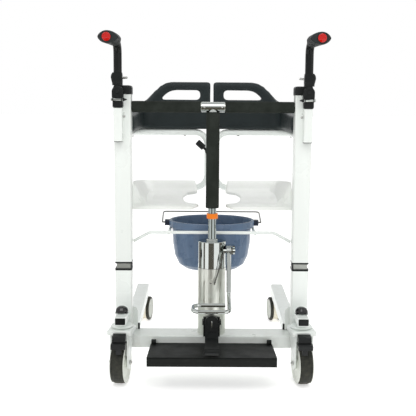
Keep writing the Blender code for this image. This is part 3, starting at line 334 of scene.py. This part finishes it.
BLUE_DARK = plastic("dark_blue_lug_plastic", srgb(28, 36, 54), (0.26, 0.38), 800.0, 0.08,
                    shine=0.3)

FINISH = {
    "bucket": BLUE, "bucket_bail": DARK_STEEL, "stop_ring": ORANGE, "footplate": PLATE,
    "jack_housing": STEEL, "jack_head": CHROME, "top_bar": STEEL, "tee_clamp": CHROME,
    "piston_rod": ROD, "pump_bracket": CHROME, "pump_pedal": CHROME, "base_crossbar": WHITE,
    "bucket_carrier": WHITE, "release_block": BLACK, "release_pedal": BLACK, "latch_lever": BLACK,
}
for side, _ in SIDES:
    FINISH.update({
        side + "_side_rail": WHITE, side + "_lower_column": WHITE, side + "_upper_column": WHITE,
        side + "_swing_frame": WHITE, side + "_seat_half": SEAT, side + "_inner_post": SATIN,
        side + "_column_bush": BLACK, side + "_column_cap": BLACK, side + "_dome_nut": DOME,
        side + "_handle_mount": BLACK, side + "_handle_tube": GLOSS, side + "_handle_grip": GRIP,
        side + "_clamp_lever": CHROME, "near_" + side + "_fork": WHITE,
        "near_" + side + "_hub": HUB, "near_" + side + "_tyre": TYRE,
        "near_" + side + "_brake": BLACK, "far_" + side + "_hood": BEIGE,
        "far_" + side + "_wheels": TYRE})

# ---------------------------------------------------------------- CAD nodes: finish and soft edges
SHARP = math.radians(38)                             # edges sharper than this stay crisp
BEVEL_WIDTH = 0.0008
BEVEL_WIDTHS = {"footplate": 0.0012, "bucket": 0.0006, "jack_housing": 0.0006,
                "jack_head": 0.0006, "latch_lever": 0.0006, "release_pedal": 0.0009,
                "release_block": 0.0006}
NO_BEVEL = ("pump_pedal", "bucket_bail", "piston_rod", "top_bar", "bucket_carrier")
NO_BEVEL_ENDS = ("_swing_frame", "_seat_half", "_hub", "_tyre", "_wheels")


def finish_node(name, obj):
    """Gives a CAD node its material, and a small bevel where its edges are cut square."""
    mesh = obj.data
    mesh.materials.clear()
    mesh.materials.append(FINISH.get(name, BLACK))
    mesh.shade_smooth()
    mesh.set_sharp_from_angle(angle=SHARP)
    if name in NO_BEVEL or name.endswith(NO_BEVEL_ENDS):
        return
    bevel = obj.modifiers.new("soft_edges", "BEVEL")
    bevel.width = BEVEL_WIDTHS.get(name, BEVEL_WIDTH)
    bevel.segments = 2
    bevel.limit_method = "ANGLE"
    bevel.angle_limit = math.radians(40)
    bevel.harden_normals = True


for name, obj in NODES.items():
    finish_node(name, obj)


def second_finish(node, mat, chosen):
    """Gives the faces whose centre is chosen another finish."""
    mesh = NODES[node].data
    mesh.materials.append(mat)
    for poly in mesh.polygons:
        if chosen(poly.center):
            poly.material_index = 1


BUCKET_LUG_X = 0.1395                                # the lugs lie beyond this
CLAMP_BLADE_X = 0.2640                               # the clamp levers' blades lie inside this
BUTTON_TIP = (0.2638, 0.912)                         # inside this x and below this z: button tip
VALVE_ROD = (0.0376, Y0 - 0.009)                     # left of this x, in front of this y: thin rod
FAR_DISC_R = 0.0365                                  # radius of the far wheels' plain disc

second_finish("bucket", BLUE_DARK, lambda p: abs(p.x) > BUCKET_LUG_X)
for side, _ in SIDES:
    second_finish(side + "_clamp_lever", GLOSS, lambda p: abs(p.x) < CLAMP_BLADE_X)
    second_finish(side + "_handle_tube", ZINC,
                  lambda p: abs(p.x) < BUTTON_TIP[0] and p.z < BUTTON_TIP[1])
second_finish("pump_bracket", DARK_STEEL, lambda p: p.x < VALVE_ROD[0] and p.y < VALVE_ROD[1])
for side, _ in SIDES:
    second_finish("far_" + side + "_wheels", DISC,
                  lambda p, c=centre("far_" + side + "_wheels"):
                  math.hypot((p - c).y, (p - c).z) < FAR_DISC_R)


# ---------------------------------------------------------------- shape helpers
def finish_piece(bm, name, mat, body):
    """Turns a bmesh into a piece that rides on a body."""
    mesh = bpy.data.meshes.new(name)
    bm.to_mesh(mesh)
    bm.free()
    mesh.shade_smooth()
    mesh.set_sharp_from_angle(angle=math.radians(35))
    mesh.materials.append(mat)
    obj = bpy.data.objects.new(name, mesh)
    bpy.context.scene.collection.objects.link(obj)
    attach(obj, body)


def rounded_rect(cx, cy, w, h, r, seg=5):
    """Corner-rounded rectangle, anticlockwise."""
    pts = []
    for k, (sx, sy) in enumerate(((1, 1), (-1, 1), (-1, -1), (1, -1))):
        for i in range(seg + 1):
            a = math.pi / 2 * (k + i / seg)
            pts.append((cx + sx * (w / 2 - r) + r * math.cos(a),
                        cy + sy * (h / 2 - r) + r * math.sin(a)))
    return pts


def skin(bm, loops, wrap=False):
    """Faces from each loop of points to the next one, and from the last to the first if wrap."""
    n = len(loops[0])
    following = loops[1:] + (loops[:1] if wrap else [])
    for a, b in zip(loops, following):
        for k in range(n):
            bm.faces.new((a[k], a[(k + 1) % n], b[(k + 1) % n], b[k]))


def loft(sections):
    """Closed solid over sections of equal point count."""
    bm = bmesh.new()
    loops = [[bm.verts.new(p) for p in s] for s in sections]
    skin(bm, loops)
    bm.faces.new(loops[0])
    bm.faces.new(loops[-1])
    bmesh.ops.recalc_face_normals(bm, faces=bm.faces)
    return bm


def circle(r, n):
    """Points of a circle about the origin."""
    return [(r * math.cos(2 * math.pi * i / n), r * math.sin(2 * math.pi * i / n))
            for i in range(n)]


def turned(profile, matrix, n=48):
    """A (radius, height) profile turned about local Z and placed by a matrix."""
    bm = bmesh.new()
    loops = []
    for r, h in profile:
        points = circle(r, n) if r > 0 else [(0.0, 0.0)]
        loops.append([bm.verts.new((x, y, h)) for x, y in points])
    for a, b in zip(loops, loops[1:]):
        for i in range(n):
            j = (i + 1) % n
            face = []
            for v in (a[i % len(a)], a[j % len(a)], b[j % len(b)], b[i % len(b)]):
                if v not in face:
                    face.append(v)
            bm.faces.new(face)
    bmesh.ops.recalc_face_normals(bm, faces=bm.faces)
    bm.transform(matrix)
    return bm


def joined(parts):
    """Several bmeshes as one."""
    out = bmesh.new()
    for bm in parts:
        mesh = bpy.data.meshes.new("part")
        bm.to_mesh(mesh)
        bm.free()
        out.from_mesh(mesh)
        bpy.data.meshes.remove(mesh)
    return out


def facing(place, axis):
    """Matrix that puts local +Z along an axis, at a place."""
    turn = Vector(axis).to_track_quat("Z", "Y").to_matrix().to_4x4()
    return Matrix.Translation(Vector(place)) @ turn


UP, DOWN, TO_PUSHER = (0, 0, 1), (0, 0, -1), (0, -1, 0)


def button(place, axis, r, h, hexed=0.0):
    """Domed screw head, with a hexagon socket if hexed."""
    rim = [(0, 0), (r, 0), (r, h * 0.45), (r * 0.86, h * 0.85), (r * 0.6, h)]
    if hexed:
        rim += [(r * hexed, h), (r * hexed, h * 0.35), (0, h * 0.35)]
    else:
        rim += [(0, h * 1.05)]
    return turned(rim, facing(place, axis), 24)


def nut(place, axis, across, h):
    """Hexagon nut with a threaded end standing out of it."""
    corner, chamfer, stud_r = across / 1.732, across / 1.9, across * 0.26
    hexagon = turned([(0, 0), (corner, 0), (corner, h * 0.85), (chamfer, h), (0, h)],
                     facing(place, axis), 6)
    stud = turned([(0, h), (stud_r, h), (stud_r, h * 1.3), (across * 0.2, h * 1.42),
                   (0, h * 1.42)], facing(place, axis), 18)
    return joined([hexagon, stud])


def block(x0, x1, y0, y1, z0, z1, r):
    """Block with rounded vertical edges and a softened top and bottom."""
    cx, cy, w, d = (x0 + x1) / 2, (y0 + y1) / 2, abs(x1 - x0), abs(y1 - y0)
    soft = min(0.0006, (z1 - z0) / 4)
    rows = ((z0, 2 * soft), (z0 + soft, 0.0), (z1 - soft, 0.0), (z1, 2 * soft))
    return loft([[at(px, py, z) for px, py in rounded_rect(cx, cy, w - less, d - less, r, 4)]
                 for z, less in rows])


def square_ring(cx, cy, outer, inner, z0, z1):
    """Square collar with rounded corners."""
    outer_r, inner_r = 0.004, 0.0016
    bm = bmesh.new()
    rows = [[bm.verts.new(at(px, py, z)) for px, py in rounded_rect(cx, cy, size, size, r)]
            for size, r, z in ((outer, outer_r, z0), (outer, outer_r, z1),
                               (inner, inner_r, z1), (inner, inner_r, z0))]
    skin(bm, rows, wrap=True)
    bmesh.ops.recalc_face_normals(bm, faces=bm.faces)
    return bm


def plug(cx, cz, w, h, y0, y1, r):
    """Flat plug from y0 to y1 that faces the pusher, with a softened front edge."""
    rows = ((y0, 1.0), (y1 + 0.0010, 1.0), (y1 + 0.0003, 0.96), (y1, 0.86))
    return loft([[at(px, y, pz) for px, pz in rounded_rect(cx, cz, w * k, h * k, r * k)]
                 for y, k in rows])


def bead(points, r, n):
    """Round rod along a closed loop of points."""
    bm = bmesh.new()
    pts = [Vector(p) for p in points]
    loops = []
    side = None
    for i, p in enumerate(pts):
        t = (pts[(i + 1) % len(pts)] - pts[i - 1]).normalized()
        if side is None:
            side = t.cross(Vector((0, 1, 0))).normalized()
        side = (side - t * side.dot(t)).normalized()
        up = t.cross(side)
        loops.append([bm.verts.new(p + side * x + up * y) for x, y in circle(r, n)])
    skin(bm, loops, wrap=True)
    bmesh.ops.recalc_face_normals(bm, faces=bm.faces)
    return bm


# ---------------------------------------------------------------- soft pieces
UNEVEN = ((18.0, 1.0), (55.0, 0.35))                 # noise scales and shares of a foam surface


def softened(node, name, mat, body, voxel, rounds, grow, wobble):
    """A foam piece from its CAD solid: remeshed, relaxed, swollen a little and slightly uneven."""
    mesh = NODES[node].data.copy()
    mesh.materials.clear()
    obj = bpy.data.objects.new(name, mesh)
    bpy.context.scene.collection.objects.link(obj)
    remesh = obj.modifiers.new("remesh", "REMESH")
    remesh.mode = "VOXEL"
    remesh.voxel_size = voxel
    relax = obj.modifiers.new("relax", "SMOOTH")
    relax.factor = 0.5
    relax.iterations = rounds
    graph = bpy.context.evaluated_depsgraph_get()
    graph.update()
    done = bpy.data.meshes.new_from_object(obj.evaluated_get(graph))
    obj.modifiers.clear()
    obj.data = done
    bpy.data.meshes.remove(mesh)
    bm = bmesh.new()
    bm.from_mesh(done)
    bm.normal_update()
    moves = [v.normal * (grow + sum(noise.noise(v.co * scale) * wobble * share
                                    for scale, share in UNEVEN)) for v in bm.verts]
    for v, d in zip(bm.verts, moves):
        v.co += d
    bm.to_mesh(done)
    bm.free()
    done.materials.clear()
    done.materials.append(mat)
    done.shade_smooth()
    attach(obj, body)
    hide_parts(node)


for side, sign in SIDES:
    softened(side + "_back_pad", side + "_pad_foam", PU, side + "_half",
             voxel=0.004, rounds=7, grow=0.0006, wobble=0.0005)
    softened(side + "_bar_foam", side + "_bar_sleeve", FOAM, "carriage",
             voxel=0.0022, rounds=2, grow=0.0002, wobble=0.0004)
softened("piston_foam", "piston_sleeve", FOAM, "carriage",
         voxel=0.0024, rounds=2, grow=0.0002, wobble=0.0004)


# ---------------------------------------------------------------- small fittings on both sides
def grip_fittings(side, sign):
    """Reflector in its rim on the end of the grip, and the collar at the grip's other end."""
    body = side + "_handle"
    end_reach, collar_reach = 0.1495, 0.0355         # in front of the upright tube
    end_x = sign * (HANDLE_X + HANDLE_OUT * end_reach)
    end_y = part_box(side + "_handle_grip")[0].y
    finish_piece(turned([(0, 0), (0.0134, 0), (0.0134, 0.0012), (0.0126, 0.0022), (0, 0.0024)],
                        facing((end_x, end_y + 0.0001, GRIP_Z), TO_PUSHER)),
                 side + "_reflector_rim", BLACK, body)
    finish_piece(turned([(0, 0.0024), (0.0120, 0.0022), (0.0120, 0.0030), (0.0105, 0.0037),
                         (0, 0.0040)], facing((end_x, end_y, GRIP_Z), TO_PUSHER)),
                 side + "_reflector", RED, body)
    collar_x = sign * (HANDLE_X + HANDLE_OUT * collar_reach)
    finish_piece(turned([(0.0126, 0), (0.0146, 0.0004), (0.0146, 0.0030), (0.0126, 0.0034),
                         (0.0126, 0)], facing(at(collar_x, -0.0500, GRIP_Z), TO_PUSHER)),
                 side + "_grip_collar", GRIP, body)


def column_fittings(side, sign):
    """Plugs, the ring under the upper column, the column bolt and the washer on the swivel."""
    x = sign * COL_X
    stub_z, plug_w, plug_h = 0.1945, 0.0292, 0.0192
    finish_piece(plug(x, stub_z, plug_w, plug_h, STUB_END + 0.0013, STUB_END - 0.0016, 0.0025),
                 side + "_stub_plug", BLACK, "base")
    column_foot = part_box(side + "_upper_column")[0].z
    finish_piece(square_ring(x, MID_Y, 0.0508, 0.0429, column_foot - 0.0049,
                             column_foot - 0.0002),
                 side + "_sleeve_ring", BLACK, "carriage")
    socket_x, socket_half, socket_foot = sign * HANDLE_X, 0.0128, 0.7168
    finish_piece(block(socket_x - socket_half, socket_x + socket_half, -0.0256, -0.0002,
                       socket_foot - 0.0016, socket_foot, 0.003),
                 side + "_socket_plug", BLACK, "carriage")
    bolt_x, bolt_z, pin_z = sign * 0.2636, 0.790, 0.800
    finish_piece(joined([button(at(bolt_x, 0.0, bolt_z), TO_PUSHER, 0.0042, 0.0026, 0.5),
                         button(at(bolt_x, 0.0, pin_z), TO_PUSHER, 0.0015, 0.0008)]),
                 side + "_column_bolt", ZINC, "carriage")
    x0, x1 = sorted((sign * RAIL_IN, sign * (RAIL_IN - 0.0060)))
    finish_piece(block(x0, x1, 0.0500, 0.0576, 0.1276, 0.1460, 0.0012),
                 side + "_bracket_plug", BLACK, "base")
    dome_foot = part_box(side + "_dome_nut")[0].z
    finish_piece(turned([(0.0152, 0), (0.0205, 0), (0.0205, 0.0018), (0.0198, 0.0024),
                         (0.0152, 0.0024), (0.0152, 0)], facing(at(x, SWIVEL_Y, dome_foot), UP)),
                 side + "_swivel_washer", CHROME, "base")


def pad_fittings(side, sign):
    """The three screws that hold a back pad, from below."""
    screw_z = 0.7197
    screws = [button(at(sign * x, y, screw_z), DOWN, 0.0045, 0.0030, 0.5)
              for x, y in ((0.094, 0.430), (COL_X, 0.210), (COL_X, 0.330))]
    finish_piece(joined(screws), side + "_pad_screws", ZINC, side + "_half")


def near_castor_fittings(side, sign):
    """Axle nuts on the fork and a thin ring on each face of the hub."""
    yaw = sign * NEAR_YAW
    wheel = Vector(at(sign * COL_X + math.sin(yaw) * NEAR_TRAIL,
                      SWIVEL_Y - math.cos(yaw) * NEAR_TRAIL, NEAR_WHEEL_R))
    axis = Vector((math.cos(yaw), math.sin(yaw), 0.0))
    nut_out, ring_out = 0.0284, 0.0166
    nuts = [nut(wheel + axis * nut_out * k, axis * k, 0.0130, 0.0050) for k in (-1, 1)]
    finish_piece(joined(nuts), "near_" + side + "_axle_nuts", ZINC, "near_" + side + "_castor")
    rings = [turned([(0.0300, 0), (0.0318, 0.0005), (0.0330, 0.0005), (0.0345, 0), (0.0300, 0)],
                    facing(wheel + axis * ring_out * k, axis * k)) for k in (-1, 1)]
    finish_piece(joined(rings), "near_" + side + "_hub_rings", HUB, "near_" + side + "_wheel")


for side, sign in SIDES:
    grip_fittings(side, sign)
    column_fittings(side, sign)
    pad_fittings(side, sign)
    near_castor_fittings(side, sign)


# ---------------------------------------------------------------- small fittings in the middle
def jack_fittings():
    """Valve screws, the gland round the rod, and the seam under the jack's head."""
    screws = [button(at(-0.0035, -0.0176, z), TO_PUSHER, r, 0.0022, 0.45)
              for z, r in ((0.2990, 0.0042), (0.2925, 0.0034))]
    finish_piece(joined(screws), "valve_screws", BLACK, "base")
    gland_in, gland_out, gland_neck = 0.0128, 0.0178, 0.0160
    finish_piece(turned([(gland_in, 0.0), (gland_out, 0.0), (gland_out, 0.0022),
                         (gland_neck, 0.0034), (gland_neck, 0.0050), (gland_in, 0.0050),
                         (gland_in, 0.0)], facing(at(0.0, MID_Y, 0.4149), UP)),
                 "rod_gland", CHROME, "base")
    finish_piece(turned([(0.0424, 0.0), (0.0429, 0.0002), (0.0429, 0.0010), (0.0424, 0.0012)],
                        facing(at(0.0, MID_Y, 0.3327), UP), 64),
                 "jack_seam", DARK_STEEL, "base")


def release_fittings():
    """Raised rim round the release pedal's shield, and the slot in it."""
    half_w, half_h, middle_z, steps = 0.0196, 0.0236, 0.1715, 48
    rim = [at(half_w * x, -0.0466, middle_z + half_h * z) for x, z in circle(1.0, steps)]
    finish_piece(bead(rim, 0.0010, 8), "release_rim", BLACK, "release")
    finish_piece(plug(0.0, 0.1700, 0.0032, 0.0230, -0.0462, -0.0474, 0.0015),
                 "release_slot", CHROME, "release")


def tee_fittings():
    """Screws of the clamp that holds the rod to the top bar."""
    front = MID_Y - 0.0150
    screws = [button(at(x, front, 0.8187), TO_PUSHER, 0.0030, 0.0016, 0.5)
              for x in (-0.0260, 0.0260)]
    finish_piece(joined(screws), "tee_screws", ZINC, "carriage")


jack_fittings()
release_fittings()
tee_fittings()

# ---------------------------------------------------------------- camera
EYE_X, EYE_BACK, EYE_HEIGHT = -0.0265, 2.31, 0.822   # back from the front face of the columns
EYE_TURN, EYE_TILT, EYE_ROLL = -0.33, 82.5, 0.4      # degrees

camera = bpy.data.cameras.new("camera")
camera.sensor_width = 36.0
camera.lens = 67.07
eye = bpy.data.objects.new("camera", camera)
eye.matrix_world = (Matrix.Translation(at(EYE_X, -EYE_BACK, EYE_HEIGHT))
                    @ Matrix.Rotation(math.radians(EYE_TURN), 4, "Z")
                    @ Matrix.Rotation(math.radians(EYE_TILT), 4, "X")
                    @ Matrix.Rotation(math.radians(EYE_ROLL), 4, "Z"))
bpy.context.scene.collection.objects.link(eye)
bpy.context.scene.camera = eye
bpy.context.scene.view_settings.view_transform = "Standard"

# ---------------------------------------------------------------- sky and lights
SKY_SEEN = 1.0                                       # sky level behind the object
SKY_LIGHT = 0.72                                     # sky level that lights the object

world = bpy.data.worlds.new("studio")
world.use_nodes = True
sky = world.node_tree.nodes["Background"]
sky.inputs["Color"].default_value = (1.0, 1.0, 1.0, 1.0)
path = world.node_tree.nodes.new("ShaderNodeLightPath")
level = world.node_tree.nodes.new("ShaderNodeMapRange")
level.inputs["To Min"].default_value = SKY_LIGHT
level.inputs["To Max"].default_value = SKY_SEEN
world.node_tree.links.new(path.outputs["Is Camera Ray"], level.inputs["Value"])
world.node_tree.links.new(level.outputs["Result"], sky.inputs["Strength"])
bpy.context.scene.world = world


def area_light(name, place, target, size, power):
    """A square soft light aimed at a point."""
    data = bpy.data.lights.new(name, "AREA")
    data.size = size
    data.energy = power
    obj = bpy.data.objects.new(name, data)
    obj.location = place
    obj.rotation_euler = (Vector(target) - Vector(place)).to_track_quat("-Z", "Y").to_euler()
    bpy.context.scene.collection.objects.link(obj)


area_light("key", (-1.8, -2.2, 2.8), (0, 0, 0.5), size=1.2, power=12)
area_light("fill", (2.2, -1.8, 1.8), (0, 0, 0.5), size=1.8, power=5)
area_light("top_front", (0.2, -1.5, 2.3), (0, 0, 0.1), size=1.0, power=8)
area_light("back", (0.4, 2.6, 2.4), (0, 0, 0.6), size=1.6, power=10)


# ---------------------------------------------------------------- floor and studio cards
def staged(bm, name, mat):
    """A mesh of the studio, which isn't part of the object."""
    mesh = bpy.data.meshes.new(name)
    bm.to_mesh(mesh)
    bm.free()
    mesh.materials.append(mat)
    obj = bpy.data.objects.new(name, mesh)
    bpy.context.scene.collection.objects.link(obj)
    return obj


def pale_floor():
    """A wide, slightly glowing floor just under the wheels."""
    m = Mat("pale_floor")
    colour = m.mix(m.noise(2.0), (0.93, 0.93, 0.92, 1), (0.95, 0.95, 0.94, 1))
    m.set(Base_Color=colour, Roughness=0.9, Emission_Color=(1.0, 1.0, 1.0, 1.0),
          Emission_Strength=0.50)
    bm = bmesh.new()
    bmesh.ops.create_grid(bm, x_segments=1, y_segments=1, size=60.0)
    staged(bm, "floor", m.mat).location.z = -0.0005


def dark_card():
    """Matt dark card."""
    m = Mat("dark_studio_card")
    colour = m.mix(m.noise(1.5), (0.080, 0.068, 0.048, 1), (0.170, 0.150, 0.115, 1))
    m.set(Base_Color=colour, Roughness=1.0)
    return m.mat


def floor_card(name, low, high, mat):
    """A dark sector on the floor that only mirror-like surfaces see.

    It runs from one angle to the other, in degrees from the pusher's side, round the jack.
    """
    near, far, steps = 0.40, 7.0, 12
    middle = Vector(at(0.0, MID_Y, 0.0005))
    bm = bmesh.new()
    inner, outer = [], []
    for k in range(steps + 1):
        a = math.radians(low + (high - low) * k / steps)
        d = Vector((math.sin(a), -math.cos(a), 0.0))
        inner.append(bm.verts.new(middle + d * near))
        outer.append(bm.verts.new(middle + d * far))
    for k in range(steps):
        bm.faces.new((inner[k], inner[k + 1], outer[k + 1], outer[k]))
    obj = staged(bm, name, mat)
    obj.visible_camera = False
    obj.visible_diffuse = False
    obj.visible_shadow = False


pale_floor()
CARD = dark_card()
for name, low, high in (("front", -30, 12), ("right", 56, 92), ("far_right", 112, 124),
                        ("left", -130, -96), ("near_left", -70, -56)):
    floor_card("card_" + name, low, high, CARD)
